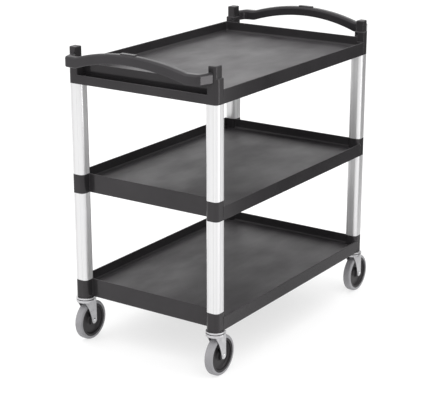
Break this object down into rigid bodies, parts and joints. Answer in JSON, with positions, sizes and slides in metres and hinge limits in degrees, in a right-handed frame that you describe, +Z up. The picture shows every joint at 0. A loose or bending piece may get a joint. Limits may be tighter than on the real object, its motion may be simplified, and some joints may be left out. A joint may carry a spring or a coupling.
{
  "type": "serving trolley",
  "caption": "Serving trolley with stacked moulded trays on round-cornered aluminium posts, an arched hand grip at each end and swivel casters.",
  "frame": {"origin": "on the floor under the middle of the trolley", "axes": "+X along the length, +Y across the width, +Z up"},
  "size_m": [1.016, 0.553, 0.963],
  "materials": {
    "tray_plastic": "satin black moulded polypropylene",
    "handle_plastic": "satin black moulded polypropylene",
    "post_aluminium": "satin anodised extrusion",
    "zinc_pressing": "zinc plated pressed steel",
    "plated_steel": "zinc plated turned steel",
    "black_screw": "black oxide steel",
    "wheel_plastic": "black moulded nylon",
    "bush_plastic": "natural acetal",
    "grey_tyre": "light grey non-marking rubber"
  },
  "bodies": {
    "trolley": {"top_shelf": "tray_plastic", "middle_shelf": "tray_plastic", "bottom_shelf": "tray_plastic", "front_handle": "handle_plastic", "rear_handle": "handle_plastic", "handle_screws": "black_screw", "caster_sockets": "plated_steel", "lower_post_front_left": "post_aluminium", "upper_post_front_left": "post_aluminium", "caster_stem_front_left": "plated_steel", "upper_race_front_left": "zinc_pressing", "lower_race_front_left": "zinc_pressing", "lower_post_front_right": "post_aluminium", "upper_post_front_right": "post_aluminium", "caster_stem_front_right": "plated_steel", "upper_race_front_right": "zinc_pressing", "lower_race_front_right": "zinc_pressing", "lower_post_rear_left": "post_aluminium", "upper_post_rear_left": "post_aluminium", "caster_stem_rear_left": "plated_steel", "upper_race_rear_left": "zinc_pressing", "lower_race_rear_left": "zinc_pressing", "lower_post_rear_right": "post_aluminium", "upper_post_rear_right": "post_aluminium", "caster_stem_rear_right": "plated_steel", "upper_race_rear_right": "zinc_pressing", "lower_race_rear_right": "zinc_pressing"},
    "caster_front_left": {"fork_front_left": "zinc_pressing", "axle_bolt_front_left": "plated_steel", "axle_nut_front_left": "plated_steel", "swivel_balls_front_left": "plated_steel"},
    "wheel_front_left": {"wheel_core_front_left": "wheel_plastic", "tyre_front_left": "grey_tyre", "wheel_bush_front_left": "bush_plastic"},
    "caster_front_right": {"fork_front_right": "zinc_pressing", "axle_bolt_front_right": "plated_steel", "axle_nut_front_right": "plated_steel", "swivel_balls_front_right": "plated_steel"},
    "wheel_front_right": {"wheel_core_front_right": "wheel_plastic", "tyre_front_right": "grey_tyre", "wheel_bush_front_right": "bush_plastic"},
    "caster_rear_left": {"fork_rear_left": "zinc_pressing", "axle_bolt_rear_left": "plated_steel", "axle_nut_rear_left": "plated_steel", "swivel_balls_rear_left": "plated_steel"},
    "wheel_rear_left": {"wheel_core_rear_left": "wheel_plastic", "tyre_rear_left": "grey_tyre", "wheel_bush_rear_left": "bush_plastic"},
    "caster_rear_right": {"fork_rear_right": "zinc_pressing", "axle_bolt_rear_right": "plated_steel", "axle_nut_rear_right": "plated_steel", "swivel_balls_rear_right": "plated_steel"},
    "wheel_rear_right": {"wheel_core_rear_right": "wheel_plastic", "tyre_rear_right": "grey_tyre", "wheel_bush_rear_right": "bush_plastic"}
  },
  "joints": [
    {"name": "swivel_front_left", "type": "hinge", "parent": "trolley", "child": "caster_front_left", "pos_m": [-0.4225, 0.2475, 0.1435], "axis": [0, 0, 1], "continuous": true},
    {"name": "roll_front_left", "type": "hinge", "parent": "caster_front_left", "child": "wheel_front_left", "pos_m": [-0.4015, 0.2475, 0.0635], "axis": [0, 1, 0], "continuous": true},
    {"name": "swivel_front_right", "type": "hinge", "parent": "trolley", "child": "caster_front_right", "pos_m": [-0.4225, -0.2475, 0.1435], "axis": [0, 0, 1], "continuous": true},
    {"name": "roll_front_right", "type": "hinge", "parent": "caster_front_right", "child": "wheel_front_right", "pos_m": [-0.4015, -0.2475, 0.0635], "axis": [0, 1, 0], "continuous": true},
    {"name": "swivel_rear_left", "type": "hinge", "parent": "trolley", "child": "caster_rear_left", "pos_m": [0.4225, 0.2475, 0.1435], "axis": [0, 0, 1], "continuous": true},
    {"name": "roll_rear_left", "type": "hinge", "parent": "caster_rear_left", "child": "wheel_rear_left", "pos_m": [0.4435, 0.2475, 0.0635], "axis": [0, 1, 0], "continuous": true},
    {"name": "swivel_rear_right", "type": "hinge", "parent": "trolley", "child": "caster_rear_right", "pos_m": [0.4225, -0.2475, 0.1435], "axis": [0, 0, 1], "continuous": true},
    {"name": "roll_rear_right", "type": "hinge", "parent": "caster_rear_right", "child": "wheel_rear_right", "pos_m": [0.4435, -0.2475, 0.0635], "axis": [0, 1, 0], "continuous": true}
  ]
}
